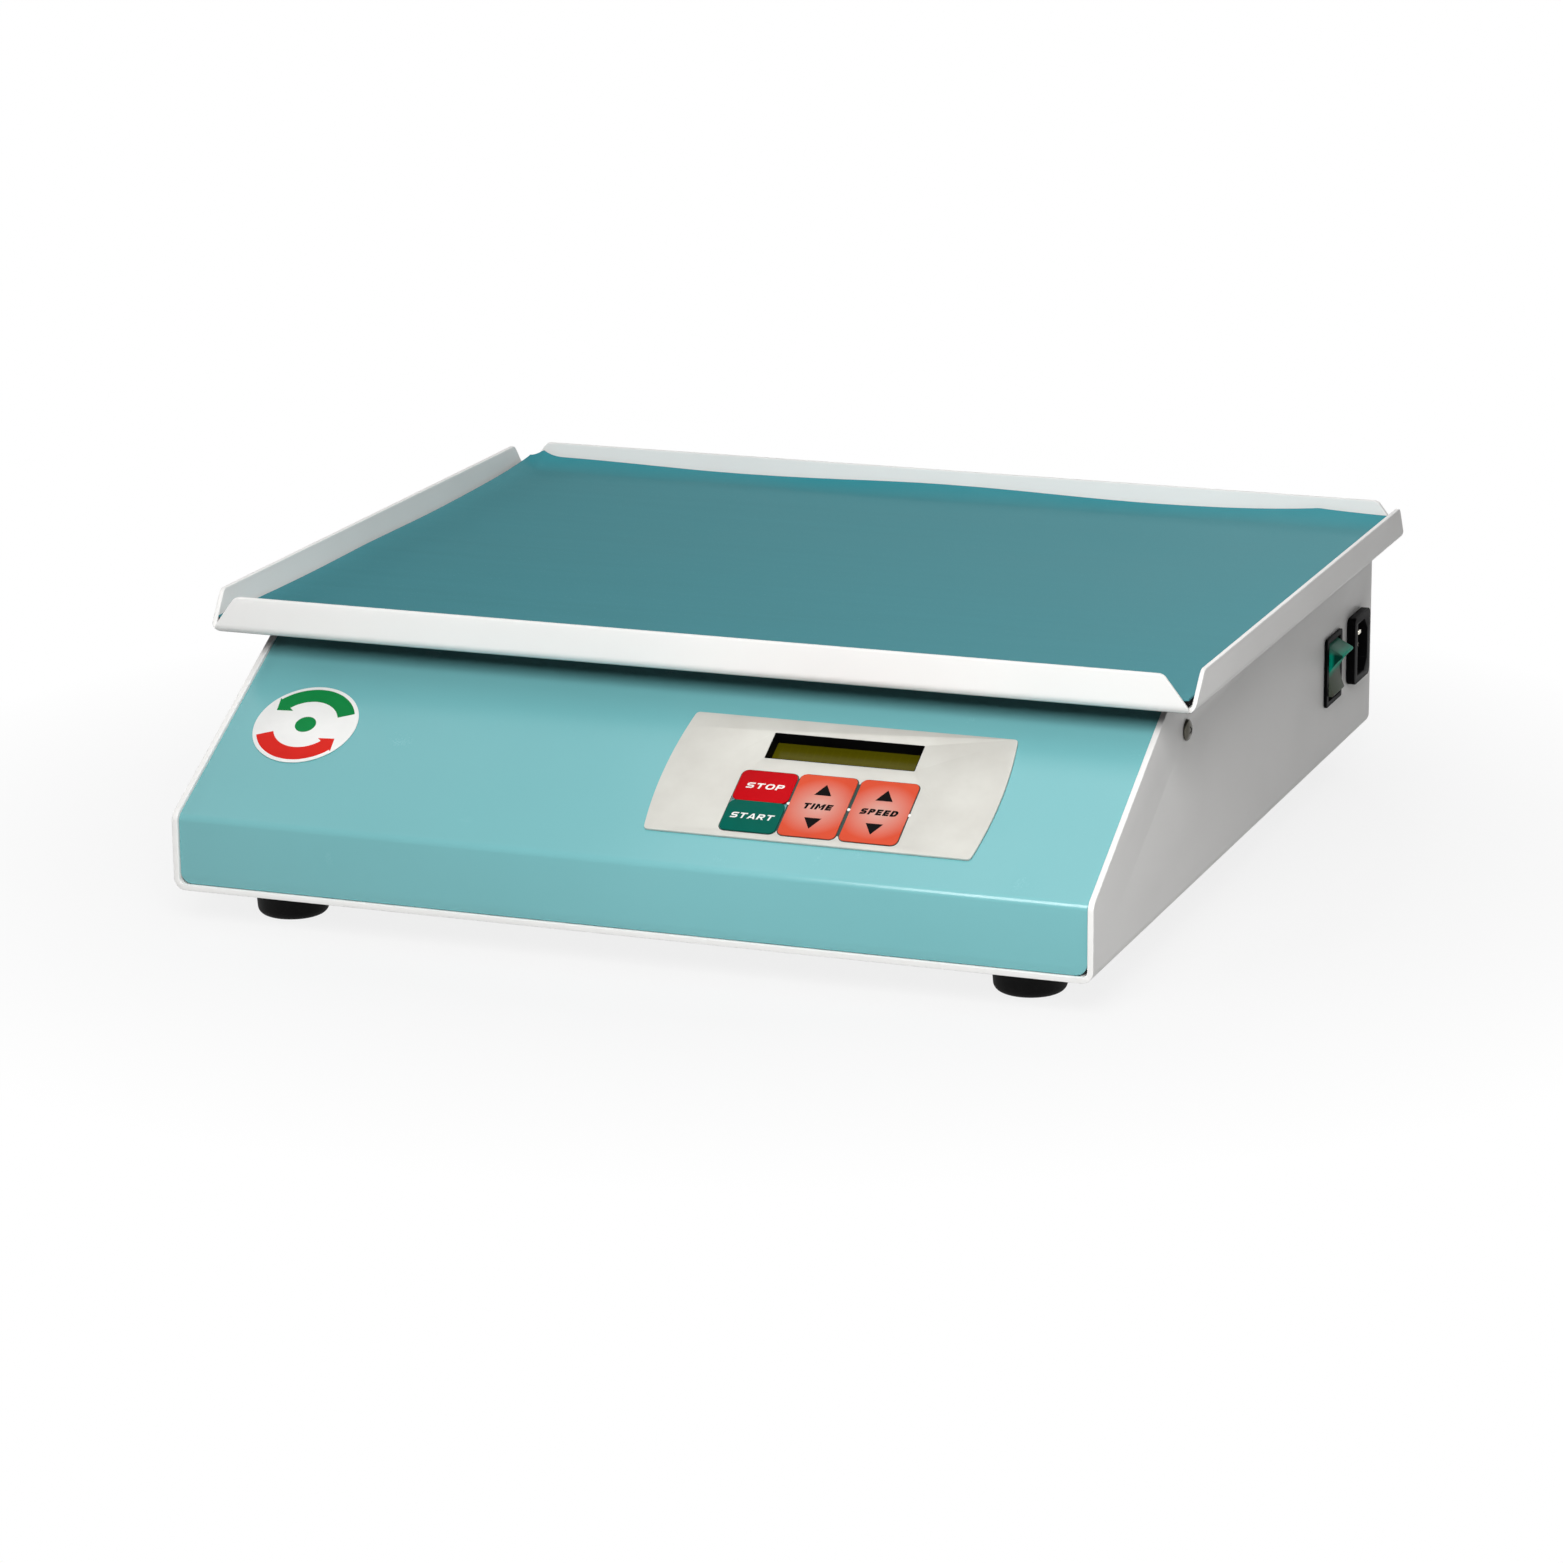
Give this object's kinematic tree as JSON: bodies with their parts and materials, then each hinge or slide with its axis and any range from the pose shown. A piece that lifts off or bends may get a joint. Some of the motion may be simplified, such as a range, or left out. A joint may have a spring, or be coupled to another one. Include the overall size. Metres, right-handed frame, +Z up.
{
  "type": "laboratory orbital rotator",
  "caption": "Bench-top laboratory rotator: a belt drive inside a sloping sheet-metal casing circles a lipped tray with a rubber mat, set from a film keypad.",
  "frame": {"origin": "on the ground, in the middle of the casing's width and depth, with the tray at its front position", "axes": "+Z up, +X to the right seen from the control panel, -Y towards the control panel"},
  "size_m": [0.4366, 0.421, 0.1236],
  "materials": {
    "white_paint": "satin powder coat",
    "turquoise_paint": "satin powder coat",
    "teal_rubber": "matte ribbed rubber",
    "black_rubber": "matte",
    "black_plastic": "satin",
    "green_plastic": "gloss",
    "cream_film": "satin printed film",
    "red_film": "satin printed film",
    "green_film": "satin printed film",
    "orange_film": "satin printed film",
    "badge_film": "satin printed film",
    "display_glass": "gloss",
    "steel": "brushed",
    "zinc": "zinc plated",
    "aluminium": "machined",
    "brass": "machined",
    "motor_metal": "satin",
    "belt_rubber": "matte",
    "circuit_board": "satin laminate"
  },
  "bodies": {
    "chassis": {"chassis_pan": "white_paint", "cover": "turquoise_paint", "foot_front_left": "black_rubber", "foot_front_right": "black_rubber", "foot_rear_left": "black_rubber", "foot_rear_right": "black_rubber", "foot_screw_front_left": "zinc", "foot_screw_front_right": "zinc", "foot_screw_rear_left": "zinc", "foot_screw_rear_right": "zinc", "side_screw_left": "zinc", "side_screw_right": "zinc", "rear_screw_left": "zinc", "rear_screw_right": "zinc", "mechanism_bridge": "steel", "drive_bearing": "aluminium", "idler_bearing_front_left": "aluminium", "idler_bearing_front_right": "aluminium", "idler_bearing_rear_left": "aluminium", "idler_bearing_rear_right": "aluminium", "motor": "motor_metal", "drive_belt": "belt_rubber", "power_supply": "aluminium", "controller_board": "circuit_board", "display_bezel": "black_plastic", "display_glass": "display_glass", "keypad_overlay": "cream_film", "time_label": "orange_film", "speed_label": "orange_film", "round_badge": "badge_film", "switch_housing": "black_plastic", "inlet_housing": "black_plastic", "inlet_blade_line": "zinc", "inlet_blade_neutral": "zinc", "inlet_blade_earth": "zinc"},
    "drive_crank": {"drive_crank": "steel", "drive_pulley": "aluminium"},
    "motor_rotor": {"motor_pulley": "aluminium"},
    "idler_front_left": {"idler_crank_front_left": "steel"},
    "idler_front_right": {"idler_crank_front_right": "steel"},
    "idler_rear_left": {"idler_crank_rear_left": "steel"},
    "idler_rear_right": {"idler_crank_rear_right": "steel"},
    "platform": {"tray": "white_paint", "mat": "teal_rubber", "platform_hub_drive": "brass", "platform_hub_front_left": "brass", "platform_hub_front_right": "brass", "platform_hub_rear_left": "brass", "platform_hub_rear_right": "brass", "tray_screw_front_left": "zinc", "tray_screw_front_right": "zinc", "tray_screw_rear_left": "zinc", "tray_screw_rear_right": "zinc"},
    "rocker": {"rocker": "green_plastic"},
    "stop_key": {"stop_key": "red_film"},
    "start_key": {"start_key": "green_film"},
    "time_up_key": {"time_up_key": "orange_film"},
    "time_down_key": {"time_down_key": "orange_film"},
    "speed_up_key": {"speed_up_key": "orange_film"},
    "speed_down_key": {"speed_down_key": "orange_film"}
  },
  "joints": [
    {"name": "drive_spin", "type": "hinge", "parent": "chassis", "child": "drive_crank", "pos_m": [0, 0.0425, 0.0853], "axis": [0, 0, 1], "continuous": true},
    {"name": "platform_pivot", "type": "hinge", "parent": "drive_crank", "child": "platform", "pos_m": [0, 0.0325, 0.0913], "axis": [0, 0, 1], "continuous": true},
    {"name": "idler_front_left_spin", "type": "hinge", "parent": "chassis", "child": "idler_front_left", "pos_m": [-0.135, -0.0675, 0.0853], "axis": [0, 0, 1], "continuous": true},
    {"name": "idler_front_right_spin", "type": "hinge", "parent": "chassis", "child": "idler_front_right", "pos_m": [0.135, -0.0675, 0.0853], "axis": [0, 0, 1], "continuous": true},
    {"name": "idler_rear_left_spin", "type": "hinge", "parent": "chassis", "child": "idler_rear_left", "pos_m": [-0.135, 0.1525, 0.0853], "axis": [0, 0, 1], "continuous": true},
    {"name": "idler_rear_right_spin", "type": "hinge", "parent": "chassis", "child": "idler_rear_right", "pos_m": [0.135, 0.1525, 0.0853], "axis": [0, 0, 1], "continuous": true},
    {"name": "motor_spin", "type": "hinge", "parent": "chassis", "child": "motor_rotor", "pos_m": [-0.095, 0.0425, 0.0853], "axis": [0, 0, 1], "continuous": true},
    {"name": "rocker_tilt", "type": "hinge", "parent": "chassis", "child": "rocker", "pos_m": [0.199, 0.14145, 0.059], "axis": [0, -1, 0], "range_deg": [0, 24]},
    {"name": "stop_key_press", "type": "slide", "parent": "chassis", "child": "stop_key", "axis": [0, 0.486, -0.8739], "range_m": [0, 0.0005], "stiffness_N_per_m": 2400},
    {"name": "start_key_press", "type": "slide", "parent": "chassis", "child": "start_key", "axis": [0, 0.486, -0.8739], "range_m": [0, 0.0005], "stiffness_N_per_m": 2400},
    {"name": "time_up_key_press", "type": "slide", "parent": "chassis", "child": "time_up_key", "axis": [0, 0.486, -0.8739], "range_m": [0, 0.0005], "stiffness_N_per_m": 2400},
    {"name": "time_down_key_press", "type": "slide", "parent": "chassis", "child": "time_down_key", "axis": [0, 0.486, -0.8739], "range_m": [0, 0.0005], "stiffness_N_per_m": 2400},
    {"name": "speed_up_key_press", "type": "slide", "parent": "chassis", "child": "speed_up_key", "axis": [0, 0.486, -0.8739], "range_m": [0, 0.0005], "stiffness_N_per_m": 2400},
    {"name": "speed_down_key_press", "type": "slide", "parent": "chassis", "child": "speed_down_key", "axis": [0, 0.486, -0.8739], "range_m": [0, 0.0005], "stiffness_N_per_m": 2400}
  ],
  "couplings": [
    {"joint": "platform_pivot", "follows": "drive_spin", "ratio": -1},
    {"joint": "idler_front_left_spin", "follows": "drive_spin", "ratio": 1},
    {"joint": "idler_front_right_spin", "follows": "drive_spin", "ratio": 1},
    {"joint": "idler_rear_left_spin", "follows": "drive_spin", "ratio": 1},
    {"joint": "idler_rear_right_spin", "follows": "drive_spin", "ratio": 1},
    {"joint": "motor_spin", "follows": "drive_spin", "ratio": 3.75}
  ]
}
